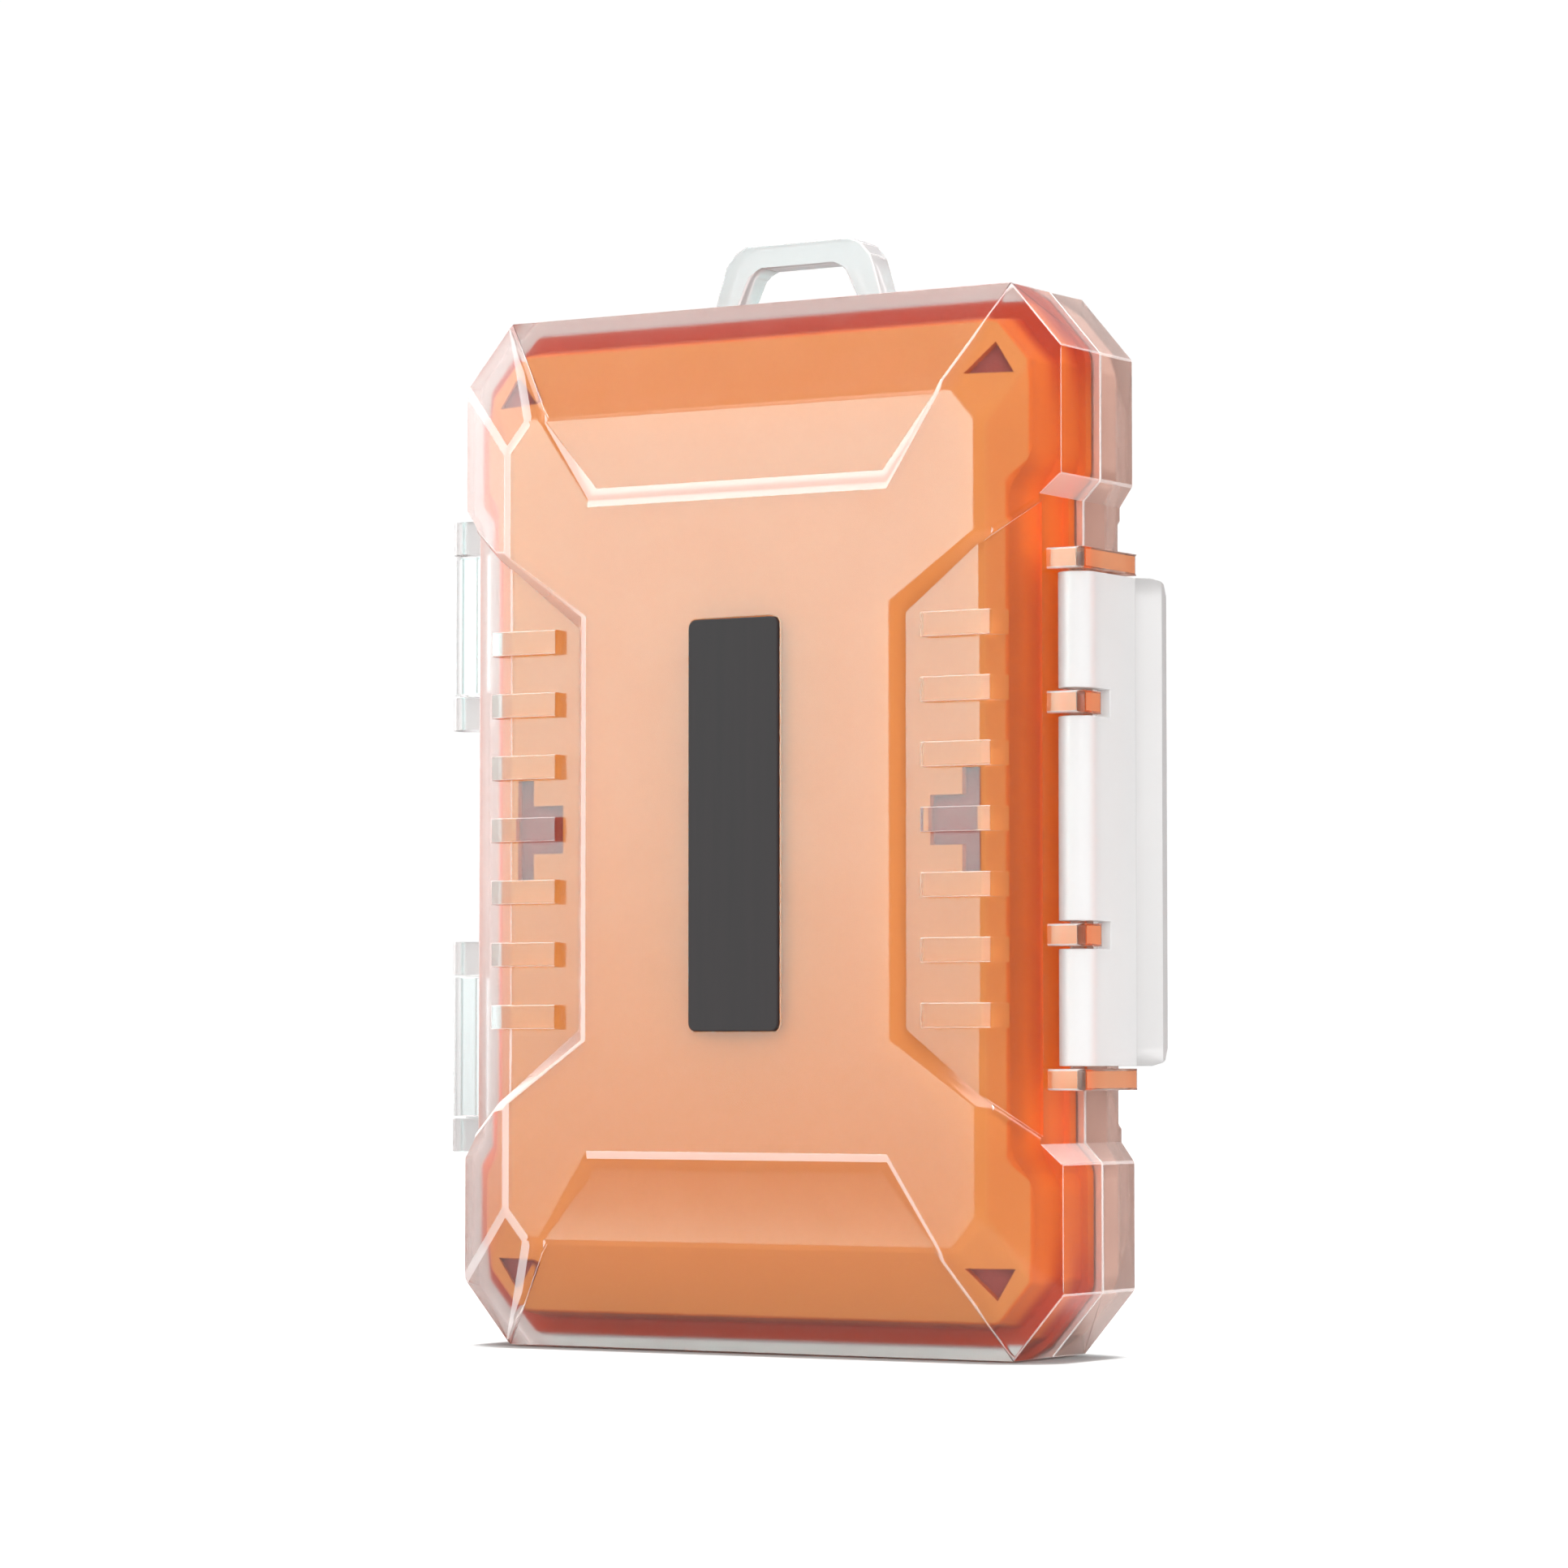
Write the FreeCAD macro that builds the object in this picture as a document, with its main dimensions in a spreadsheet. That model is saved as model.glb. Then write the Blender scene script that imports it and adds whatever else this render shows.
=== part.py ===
import FreeCAD, Part
import Sketcher
import math
import os

# A hinged two-shell case for memory cards, standing on its bottom end.
# X runs from the hinges to the latch, Y from front to rear with the parting plane at 0, and Z up.

doc = FreeCAD.newDocument("MemoryCardCase")

SIZES = {
    # Outline of the body, shared by both covers and all that fits in them
    "body_width": 80,
    "body_height": 120,
    "corner_cut_x": 6.4,
    "corner_cut_z": 7.4,
    "corner_easing": 0.085,  # share of a corner cut lost per millimetre of inset
    "waist_inset": 2.2,
    "waist_half": 36,
    "ramp_reach": 10,  # how far a waist cut runs out past the waist
    "cut_through": 80,  # length of a tool that passes right through
    "overcut": 1,  # how far a tool starts outside the piece
    "easing": 0.3,  # a rounded corner's middle point, as a share of its size
    # Covers
    "shell_wall": 2,
    "shell_face": 2.2,
    "front_wall": 9.2,
    "front_slope": 4.3,
    "front_inset_x": 8.6,
    "front_inset_z": 12.3,
    "front_cut_share": 0.47,
    "rear_wall": 7.9,
    "rear_slope": 3,
    "rear_inset_x": 6,
    "rear_inset_z": 8.6,
    "rear_cut_share": 0.63,
    # Relief in the covers' faces
    "side_recess": 1.2,
    "side_recess_edge": 0.7,
    "side_recess_in": 18.1,
    "side_recess_short": 12.7,
    "side_recess_step": 5.5,
    "side_edge_x": 1.1,
    "side_edge_z": 1.4,
    "end_recess": 0.7,
    "end_recess_edge": 0.25,
    "end_recess_down": 20.6,
    "end_recess_in": 20.8,
    "end_recess_step": 14.3,
    "end_edge_x": 1,
    "end_edge_z": 1.6,
    "rib_count": 7,
    "rib_pitch": 7.26,
    "rib_width": 2.8,
    "rib_start_in": 15.6,
    "rib_shoulder_in": 6.6,
    "rib_end_in": 5.5,
    "rib_drop": 2.8,
    # Nameplate
    "plate_width": 12,
    "plate_height": 47,
    "plate_thick": 0.9,
    "plate_sunk": 0.6,
    "plate_corner": 1,
    "plate_gap": 0.1,
    # Hinges
    "hinge_out": 5.1,
    "hinge_z": 25.2,
    "hinge_length": 25,
    "hinge_barrel": 2.5,
    "hinge_pin": 1,
    "knuckle_end": 3.9,
    "knuckle_gap": 0.3,
    "arm_gap": 0.3,
    "arm_root": 1,  # how deep an arm or a lug is let into the cover's wall
    # Latch
    "pivot_out": 0.4,
    "pivot_y": 6.1,
    "latch_half": 27.4,
    "latch_barrel": 2.2,
    "latch_plate": 1.7,
    "latch_pin": 0.9,
    "lip_out": 4.8,
    "lip_end": 6.8,
    "lip_edge": 1.2,
    "lip_run": 2.2,
    "lip_corner": 2,
    "hook_gap": 0.5,
    "hook_thick": 2,
    "hook_lead": 0.8,
    "catch_gap": 0.3,
    "catch_rise": 1.6,
    "catch_thick": 2.3,
    "catch_half": 22,
    "lug_front": 8.6,
    "lug_back": 3.7,
    "lug_out": 2.3,
    "end_lug_back": 4.7,
    "lug_gap": 0.3,
    "end_lug": 2.4,
    "mid_lug": 2.5,
    "mid_lug_z": 12.9,
    "slot_reach": 3.5,
    # Loop
    "loop_front": 0.4,
    "loop_thick": 4,
    "loop_rise": 8.4,
    "loop_base": 11.8,
    "loop_top": 9.1,
    "loop_leg": 3.1,
    "loop_bar": 2.7,
    "loop_corner": 2.2,
    # Liners, trays and seal
    "liner_inset": 4.2,
    "liner_wall": 1.4,
    "flange_thick": 1.6,
    "fit_gap": 0.2,
    "tray_level": 1.2,
    "window_bar_far": 11.3,
    "window_bar_near": 9.1,
    "window_bar_half": 5.8,
    "window_block_far": 15.4,
    "window_block_half": 2.8,
    "corner_window_far": 11.4,
    "corner_window_near": 5.8,
    "corner_window_point": 8.2,
    "corner_window_down": 10.4,
    "corner_window_rise": 3.6,
    "card_width": 24,
    "card_height": 32,
    "card_depth": 2.6,
    "card_pitch_x": 27.6,
    "card_pitch_z": 35.4,
    "micro_width": 11,
    "micro_height": 15,
    "micro_depth": 2,
    "micro_pitch_x": 21,
    "micro_pitch_z": 34,
    "card_gap": 0.3,
    "notch_width": 14,
    "notch_height": 7,
    "micro_notch_width": 7,
    "micro_notch_height": 6,
    "seal_inset": 0.6,
    "seal_width": 0.8,
    "seal_thick": 0.8,
    "seal_gap": 0.05,
    "pin_fit": 0.02,
    "running_fit": 0.05,
}
sheet = doc.addObject("Spreadsheet::Sheet", "Sizes")
for row, (alias, value) in enumerate(SIZES.items(), start=1):
    sheet.set(f"A{row}", alias.replace("_", " "))
    sheet.set(f"B{row}", str(value))
    sheet.setAlias(f"B{row}", alias)
doc.recompute()

HALF_X = "(Sizes.body_width / 2)"
MIDDLE = "Sizes.body_height / 2"
FRONT_FACE = "(Sizes.front_wall + Sizes.front_slope)"
HINGE_X = f"({HALF_X} + Sizes.hinge_out)"
PIVOT_X = f"({HALF_X} + Sizes.pivot_out)"
LIP_X = f"({HALF_X} + Sizes.lip_out)"
LUG_TIP = f"({HALF_X} + Sizes.lug_out)"
HOOK_X = f"({HALF_X} - Sizes.waist_inset + Sizes.hook_gap)"
SIDE_RECESS_X = f"({HALF_X} - Sizes.side_recess_in)"
SIDE_RECESS_HALF = "(Sizes.waist_half - Sizes.side_recess_short)"
SIDE_RECESS_BEND = "(Sizes.waist_half - Sizes.side_recess_step)"
END_RECESS_Z = f"({MIDDLE} - Sizes.end_recess_down)"
END_RECESS_HALF = f"({HALF_X} - Sizes.end_recess_in)"
END_RECESS_BEND = f"({HALF_X} - Sizes.end_recess_step)"
RIB_START = f"({HALF_X} - Sizes.rib_start_in)"
RIB_SHOULDER = f"({HALF_X} - Sizes.rib_shoulder_in)"
RIB_END = f"({HALF_X} - Sizes.rib_end_in)"
BAR_FAR = f"({HALF_X} - Sizes.window_bar_far)"
BAR_NEAR = f"({HALF_X} - Sizes.window_bar_near)"
BLOCK_FAR = f"({HALF_X} - Sizes.window_block_far)"
CORNER_FAR = f"({HALF_X} - Sizes.corner_window_far)"
CORNER_NEAR = f"({HALF_X} - Sizes.corner_window_near)"
CORNER_TIP = f"({HALF_X} - Sizes.corner_window_point)"
CORNER_Z = f"({MIDDLE} - Sizes.corner_window_down)"
PLANES = {
    "XY": (FreeCAD.Rotation(), "z"),
    "XZ": (FreeCAD.Rotation(FreeCAD.Vector(1, 0, 0), 90), "y"),
    "YZ": (FreeCAD.Rotation(FreeCAD.Vector(1, 1, 1), 120), "x"),
}
COVERS = {"front": "-", "rear": ""}  # sign of Y on each side of the parting plane
SIDES = ("", "-")  # sign of X or Z on each side of the middle
GUESS_RADIUS = 50  # a loop's corners lie on this circle until their sizes are set


def outline(name, plane, loops, offset="0"):
    """A sketch of straight-sided loops. Each corner is a pair of expressions, from the case's middle."""
    turn, normal = PLANES[plane]
    sketch = doc.addObject("Sketcher::SketchObject", name)
    sketch.Placement = FreeCAD.Placement(FreeCAD.Vector(), turn)
    sketch.setExpression(f"Placement.Base.{normal}", offset)
    if plane != "XY":
        sketch.setExpression("Placement.Base.z", MIDDLE)
    for loop in loops:
        first = sketch.GeometryCount
        count = len(loop)
        turns = [2 * math.pi * step / count for step in range(count)]
        rough = [FreeCAD.Vector(math.cos(turn), math.sin(turn)) * GUESS_RADIUS for turn in turns]
        for step in range(count):
            sketch.addGeometry(Part.LineSegment(rough[step], rough[(step + 1) % count]))
        for step, (across, along) in enumerate(loop):
            line = first + step
            following = first + (step + 1) % count
            sketch.addConstraint(Sketcher.Constraint("Coincident", line, 2, following, 1))
            for kind, size, guess in (
                ("DistanceX", across, rough[step].x),
                ("DistanceY", along, rough[step].y),
            ):
                index = sketch.addConstraint(Sketcher.Constraint(kind, -1, 1, line, 1, guess))
                sketch.setExpression(f"Constraints[{index}]", size)
    return sketch


def prism(name, sketch, length, symmetric=False):
    solid = doc.addObject("Part::Extrusion", name)
    solid.Base = sketch
    solid.DirMode = "Normal"
    solid.Solid = True
    solid.Symmetric = symmetric
    solid.setExpression("LengthFwd", length)
    return solid


def through(name, plane, loops):
    """A tool of this outline that passes right through the case."""
    offset = MIDDLE if plane == "XY" else "0"
    return prism(name, outline(name + "_outline", plane, loops, offset), "Sizes.cut_through * 2", True)


def box(name, x, y, z):
    """A box between pairs of expressions."""
    solid = doc.addObject("Part::Box", name)
    for axis, edge, (low, high) in (("x", "Length", x), ("y", "Width", y), ("z", "Height", z)):
        solid.setExpression(f"Placement.Base.{axis}", low)
        solid.setExpression(edge, f"({high}) - ({low})")
    return solid


def upright(name, radius, x, y, z):
    """A cylinder along Z between a pair of expressions."""
    solid = doc.addObject("Part::Cylinder", name)
    low, high = z
    for path, size in (
        ("Placement.Base.x", x),
        ("Placement.Base.y", y),
        ("Placement.Base.z", low),
        ("Radius", radius),
        ("Height", f"({high}) - ({low})"),
    ):
        solid.setExpression(path, size)
    return solid


def fuse(name, *pieces):
    solid = doc.addObject("Part::MultiFuse", name)
    solid.Shapes = list(pieces)
    solid.Refine = True
    return solid


def common(name, *pieces):
    solid = doc.addObject("Part::MultiCommon", name)
    solid.Shapes = list(pieces)
    return solid


def cut(name, base, tool):
    solid = doc.addObject("Part::Cut", name)
    solid.Base = base
    solid.Tool = tool
    solid.Refine = True
    return solid


def loft(name, plane, levels):
    """A solid with flat sides through outlines at these depths."""
    solid = doc.addObject("Part::Loft", name)
    solid.Sections = [
        outline(f"{name}_section{step}", plane, [corners], depth)
        for step, (corners, depth) in enumerate(levels)
    ]
    solid.Solid = True
    solid.Ruled = True
    return solid


def octagon(half_x, half_z, share):
    """Corners of the case's outline, with its corner cuts scaled by a share."""
    in_x = f"({half_x} - Sizes.corner_cut_x * {share})"
    in_z = f"({half_z} - Sizes.corner_cut_z * {share})"
    quarter = [(half_x, in_z), (in_x, half_z)]
    top = quarter + [(f"-{x}", z) for x, z in reversed(quarter)]
    return top + [(x, f"-{z}") for x, z in reversed(top)]


def waist(name, inset):
    """The tool that takes the waist out of both sides of a block."""
    neck = f"({HALF_X} - Sizes.waist_inset - ({inset}))"
    half = f"(Sizes.waist_half + ({inset}) * (sqrt(2) - 1))"
    far = f"({neck} + Sizes.ramp_reach)"
    wide = f"({half} + Sizes.ramp_reach)"
    loops = [
        [(sign + neck, "-" + half), (sign + far, "-" + wide), (sign + far, wide), (sign + neck, half)]
        for sign in SIDES
    ]
    return through(name, "XZ", loops)


def slab(name, cover, inset, low, high):
    """A waisted slab of the case's outline, inset, between two depths from the parting plane."""
    half_x = f"({HALF_X} - ({inset}))"
    half_z = f"({MIDDLE} - ({inset}))"
    share = f"(1 - Sizes.corner_easing * ({inset}))"
    sign = COVERS[cover]
    corners = octagon(half_x, half_z, share)
    solid = loft(name + "_loft", "XZ", [(corners, f"{sign}({depth})") for depth in (low, high)])
    return cut(name, solid, waist(name + "_waist", inset))


def block(name, cover, inset, low, backed):
    """A waisted block with a sloped face, inset from the outside and set back from its face."""
    wall = f"(Sizes.{cover}_wall + ({inset}) * Sizes.{cover}_slope / Sizes.{cover}_inset_z - ({backed}))"
    face = f"(Sizes.{cover}_wall + Sizes.{cover}_slope - ({backed}))"
    share = f"(1 - Sizes.corner_easing * ({inset}))"
    base_corners = octagon(f"({HALF_X} - ({inset}))", f"({MIDDLE} - ({inset}))", share)
    face_corners = octagon(
        f"({HALF_X} - Sizes.{cover}_inset_x)",
        f"({MIDDLE} - Sizes.{cover}_inset_z)",
        f"Sizes.{cover}_cut_share",
    )
    sign = COVERS[cover]
    levels = ((base_corners, low), (base_corners, wall), (face_corners, face))
    solid = loft(name + "_loft", "XZ", [(corners, f"{sign}({depth})") for corners, depth in levels])
    return cut(name, solid, waist(name + "_waist", inset))


def recess_edges(name, cover, recess, panels):
    """A tool whose walls slope from a recess's floor up past the face, and run straight below the floor."""
    sign = COVERS[cover]
    face = f"Sizes.{cover}_wall + Sizes.{cover}_slope"
    walls = [through(name + "_straight", "XZ", panels(0))]
    for step, (floor, above) in enumerate(zip(panels(0), panels(2))):
        levels = [(floor, f"{sign}({face} - Sizes.{recess})"), (above, f"{sign}({face} + Sizes.{recess})")]
        walls.append(loft(f"{name}_sloped{step}", "XZ", levels))
    return fuse(name, *walls)


def side_recess(cover):
    """The tool for the two sunken side panels of a cover, with floors along the face and its slope."""
    sign = COVERS[cover]
    face = f"{sign}(Sizes.{cover}_wall + Sizes.{cover}_slope - Sizes.side_recess)"
    edge = (
        f"{sign}(Sizes.{cover}_wall + Sizes.waist_inset * Sizes.{cover}_slope / Sizes.{cover}_inset_x"
        " - Sizes.side_recess_edge)"
    )
    far = f"{sign}Sizes.cut_through"
    bend = f"({HALF_X} - Sizes.{cover}_inset_x)"
    neck = f"({HALF_X} - Sizes.waist_inset)"
    out = f"({HALF_X} + Sizes.ramp_reach)"
    start = f"({SIDE_RECESS_X} - Sizes.ramp_reach)"
    depths = [(start, face), (bend, face), (neck, edge), (out, edge), (out, far), (start, far)]
    floor = through(
        f"{cover}_side_floor", "XY", [[(f"{side}{x}", y) for x, y in depths] for side in SIDES]
    )
    ramp = "(Sizes.waist_half + Sizes.waist_inset - Sizes.side_edge_z)"
    climb = f"({ramp} - {SIDE_RECESS_BEND}) / Sizes.{cover}_inset_x"

    def panels(run):
        corners = [
            (
                f"({SIDE_RECESS_X} - Sizes.side_edge_x * {run})",
                f"({SIDE_RECESS_HALF} + Sizes.side_edge_z * {run})",
            ),
            (bend, f"({SIDE_RECESS_BEND} + Sizes.side_edge_z * {run})"),
            (out, f"({ramp} + Sizes.ramp_reach * {climb} + Sizes.side_edge_z * {run})"),
        ]
        panel = corners + [(x, f"-{z}") for x, z in reversed(corners)]
        return [[(f"{side}{x}", z) for x, z in panel] for side in SIDES]

    edges = recess_edges(f"{cover}_side_edges", cover, "side_recess", panels)
    return common(f"{cover}_side_recess", floor, edges)


def end_recess(cover):
    """The tool for the two sunken end panels of a cover, running out to its corners."""
    sign = COVERS[cover]
    face = f"{sign}(Sizes.{cover}_wall + Sizes.{cover}_slope - Sizes.end_recess)"
    edge = f"{sign}(Sizes.{cover}_wall - Sizes.end_recess_edge)"
    far = f"{sign}Sizes.cut_through"
    bend = f"({MIDDLE} - Sizes.{cover}_inset_z)"
    end = f"({MIDDLE})"
    out = f"({MIDDLE} + Sizes.ramp_reach)"
    start = f"({END_RECESS_Z} - Sizes.ramp_reach)"
    depths = [(face, start), (face, bend), (edge, end), (edge, out), (far, out), (far, start)]
    floor = through(
        f"{cover}_end_floor", "YZ", [[(y, f"{side}{z}") for y, z in depths] for side in SIDES]
    )
    corner = f"{HALF_X} - Sizes.corner_cut_x"

    def panels(run):
        spread = f"Sizes.end_edge_x * {run}"
        half = [
            (f"({END_RECESS_HALF} + {spread})", f"({END_RECESS_Z} - Sizes.end_edge_z * {run})"),
            (f"({END_RECESS_BEND} + {spread})", bend),
            (f"({corner} + {spread})", end),
            (f"({corner} + {spread})", out),
        ]
        panel = half + [(f"-{x}", z) for x, z in reversed(half)]
        return [[(x, f"{side}{z}") for x, z in panel] for side in SIDES]

    edges = recess_edges(f"{cover}_end_edges", cover, "end_recess", panels)
    return common(f"{cover}_end_recess", floor, edges)


def shell(cover, *raised):
    """A cover's shell: its block with relief, what is raised on it, and the cavity taken out."""
    solid = block(f"{cover}_outside", cover, "0", "0", "0")
    relief = fuse(f"{cover}_relief", side_recess(cover), end_recess(cover))
    solid = cut(f"{cover}_embossed", solid, relief)
    if raised:
        solid = fuse(f"{cover}_ribbed", solid, *raised)
    cavity = block(f"{cover}_cavity", cover, "Sizes.shell_wall", "-Sizes.overcut", "Sizes.shell_face")
    return cut(f"{cover}_shell", solid, cavity)


def grip_ribs():
    """Cross ribs on the front's side panels, flush with its face and sloped at their outer ends."""
    root = "-(Sizes.front_wall - Sizes.shell_wall)"
    profile = [
        (RIB_START, f"-{FRONT_FACE}"),
        (RIB_SHOULDER, f"-{FRONT_FACE}"),
        (RIB_END, f"-({FRONT_FACE} - Sizes.rib_drop)"),
        (RIB_END, root),
        (RIB_START, root),
    ]
    bar = through("rib_profile", "XY", [[(side + x, y) for x, y in profile] for side in SIDES])
    rows = []
    for step in range(SIZES["rib_count"]):
        middle = f"Sizes.rib_pitch * ({step} - (Sizes.rib_count - 1) / 2)"
        low = f"({middle} - Sizes.rib_width / 2)"
        high = f"({middle} + Sizes.rib_width / 2)"
        rows.append([(HALF_X, low), (HALF_X, high), (f"-{HALF_X}", high), (f"-{HALF_X}", low)])
    return common("grip_ribs", bar, through("rib_rows", "XZ", rows))


def level(height):
    """A height measured from the case's middle, as a height in the part."""
    return f"{MIDDLE} + ({height})"


def knuckle(name, cover, low, high, bore):
    """A hinge knuckle on its arm from a cover's waist, bored for the pin."""
    z = (level(low), level(high))
    barrel = upright(name + "_barrel", "Sizes.hinge_barrel", f"-{HINGE_X}", "0", z)
    root = f"-({HALF_X} - Sizes.waist_inset - Sizes.arm_root)"
    depth = ("Sizes.arm_gap", "Sizes.hinge_barrel")
    if cover == "front":
        depth = ("-Sizes.hinge_barrel", "-Sizes.arm_gap")
    arm = box(name + "_arm", (f"-{HINGE_X}", root), depth, z)
    hole = upright(name + "_bore", f"Sizes.hinge_pin + {bore}", f"-{HINGE_X}", "0", z)
    return cut(name, fuse(name + "_solid", barrel, arm), hole)


HINGES = {"upper": "Sizes.hinge_z", "lower": "-Sizes.hinge_z"}
HINGE_HALF = "Sizes.hinge_length / 2"
MIDDLE_HALF = f"({HINGE_HALF} - Sizes.knuckle_end - Sizes.knuckle_gap)"


def lug(name, low, high, guarded):
    """A latch lug on the front cover's waist, bored for the pin. A guard reaches past the parting plane."""
    z = (level(low), level(high))
    root = f"({HALF_X} - Sizes.waist_inset - Sizes.arm_root)"
    plate = box(name + "_root", (root, LUG_TIP), ("-Sizes.lug_front", "-Sizes.lug_back"), z)
    if guarded:
        clear = f"({HALF_X} - Sizes.waist_inset + Sizes.lug_gap)"
        depth = ("-Sizes.lug_front", "Sizes.end_lug_back")
        guard = box(name + "_guard", (clear, LUG_TIP), depth, z)
        plate = fuse(name + "_plate", plate, guard)
    hole = upright(name + "_bore", "Sizes.latch_pin + Sizes.pin_fit", PIVOT_X, "-Sizes.pivot_y", z)
    return cut(name, plate, hole)


# Front cover: clear shell with ribs, the hinges' middle knuckles and the latch's lugs
knuckles = [
    knuckle(
        f"{place}_middle_knuckle",
        "front",
        f"{height} - {MIDDLE_HALF}",
        f"{height} + {MIDDLE_HALF}",
        "Sizes.running_fit",
    )
    for place, height in HINGES.items()
]
END_LUG_FOOT = "(Sizes.latch_half + Sizes.lug_gap)"
END_LUG_TOP = f"({END_LUG_FOOT} + Sizes.end_lug)"
lugs = [
    lug("top_lug", END_LUG_FOOT, END_LUG_TOP, True),
    lug("bottom_lug", f"-{END_LUG_TOP}", f"-{END_LUG_FOOT}", True),
]
MIDDLE_LUGS = {"upper": "Sizes.mid_lug_z", "lower": "-Sizes.mid_lug_z"}
for place, height in MIDDLE_LUGS.items():
    half = "Sizes.mid_lug / 2"
    lugs.append(lug(f"{place}_middle_lug", f"{height} - {half}", f"{height} + {half}", False))
front_fitted = fuse("front_fitted", shell("front", grip_ribs()), *knuckles, *lugs)


def plate_blank(name, spare, front, back):
    """The nameplate's outline with round corners, between two depths."""
    half_x = f"(Sizes.plate_width / 2 + {spare})"
    half_z = f"(Sizes.plate_height / 2 + {spare})"
    blank = box(
        name + "_blank",
        (f"-{half_x}", half_x),
        (f"-({front})", f"-({back})"),
        (level(f"-{half_z}"), level(half_z)),
    )
    doc.recompute()
    rounded = doc.addObject("Part::Fillet", name)
    rounded.Base = blank
    radius = float(sheet.plate_corner)
    edges = []
    for number, edge in enumerate(blank.Shape.Edges, start=1):
        start, end = (corner.Point for corner in edge.Vertexes)
        if abs(start.y - end.y) > radius / 2:
            edges.append((number, radius, radius))
    rounded.Edges = edges
    return rounded


plate_back = f"{FRONT_FACE} - Sizes.plate_sunk"
plate_seat = plate_blank("plate_seat", "Sizes.plate_gap", f"{FRONT_FACE} + Sizes.overcut", plate_back)
front_cover = cut("front_cover", front_fitted, plate_seat)

# Nameplate: thin dark plate in its seat, a little proud of the face
nameplate = plate_blank("nameplate", "0", f"{plate_back} + Sizes.plate_thick", plate_back)

# Rear cover: clear shell with the hinges' end knuckles, the latch's catch, the loop and the seal's groove
end_knuckles = []
for place, height in HINGES.items():
    for end, inner, outer in (
        ("top", f"{HINGE_HALF} - Sizes.knuckle_end", HINGE_HALF),
        ("bottom", f"-({HINGE_HALF})", f"-({HINGE_HALF} - Sizes.knuckle_end)"),
    ):
        end_knuckles.append(
            knuckle(
                f"{place}_{end}_knuckle",
                "rear",
                f"{height} + ({inner})",
                f"{height} + ({outer})",
                "Sizes.pin_fit",
            )
        )
HOOK_FRONT = "(Sizes.lip_end - Sizes.hook_thick)"
catch = box(
    "catch",
    (
        f"{HALF_X} - Sizes.waist_inset - Sizes.arm_root",
        f"{HALF_X} - Sizes.waist_inset + Sizes.catch_rise",
    ),
    (
        f"{HOOK_FRONT} - Sizes.catch_gap - Sizes.catch_thick",
        f"{HOOK_FRONT} - Sizes.catch_gap",
    ),
    (level("-Sizes.catch_half"), level("Sizes.catch_half")),
)


def loop_outline(base, top, rise, corner):
    """A loop's outline, mirrored about its middle: legs that lean in, and top corners eased by two cuts."""
    foot = f"({MIDDLE} - Sizes.arm_root)"
    lean = f"({base} - {top}) / {rise}"
    crown = f"({MIDDLE} + {rise})"
    half = [
        (f"({base} + Sizes.arm_root * {lean})", foot),
        (f"({top} + {corner} * {lean})", f"({crown} - {corner})"),
        (f"({top} - {corner} * Sizes.easing)", f"({crown} - {corner} * Sizes.easing)"),
        (f"({top} - {corner})", crown),
    ]
    return half + [(f"-{x}", z) for x, z in reversed(half)]


loop_solid = prism(
    "loop_solid",
    outline(
        "loop_outside",
        "XZ",
        [loop_outline("Sizes.loop_base", "Sizes.loop_top", "Sizes.loop_rise", "Sizes.loop_corner")],
        "Sizes.loop_front + Sizes.loop_thick",
    ),
    "Sizes.loop_thick",
)
loop_hole = through(
    "loop_hole",
    "XZ",
    [
        loop_outline(
            "(Sizes.loop_base - Sizes.loop_leg)",
            "(Sizes.loop_top - Sizes.loop_leg)",
            "(Sizes.loop_rise - Sizes.loop_bar)",
            "(Sizes.loop_corner / 2)",
        )
    ],
)
loop_ring = cut("loop_ring", loop_solid, loop_hole)
rear_fitted = fuse("rear_fitted", shell("rear"), *end_knuckles, catch, loop_ring)


def rim_ring(name, spare, low, high):
    """A ring along the middle of the rear cover's rim."""
    outside = slab(name + "_outside", "rear", f"Sizes.seal_inset - {spare}", low, high)
    inside = slab(
        name + "_inside",
        "rear",
        f"Sizes.seal_inset + Sizes.seal_width + {spare}",
        f"{low} - Sizes.overcut",
        f"{high} + Sizes.overcut",
    )
    return cut(name, outside, inside)


groove = rim_ring("seal_groove", "Sizes.seal_gap", "-Sizes.overcut", "Sizes.seal_thick")
rear_cover = cut("rear_cover", rear_fitted, groove)

# Rim seal: soft ring lying in the rear cover's groove, just below the parting plane
rim_seal = rim_ring("rim_seal", "0", "Sizes.seal_gap", "Sizes.seal_thick")


def liner_blank(cover):
    """A thin moulded liner inside a cover, with a flange round its open rim."""
    gap = "Sizes.shell_face + Sizes.fit_gap"
    outside = block(f"{cover}_liner_outside", cover, "Sizes.liner_inset", "Sizes.fit_gap", gap)
    flange = slab(
        f"{cover}_liner_flange",
        cover,
        "Sizes.shell_wall + Sizes.fit_gap",
        "Sizes.fit_gap",
        "Sizes.fit_gap + Sizes.flange_thick",
    )
    hollow = block(
        f"{cover}_liner_hollow",
        cover,
        "Sizes.liner_inset + Sizes.liner_wall",
        "-Sizes.overcut",
        f"{gap} + Sizes.liner_wall",
    )
    return fuse(f"{cover}_liner_solid", outside, flange), hollow


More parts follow.
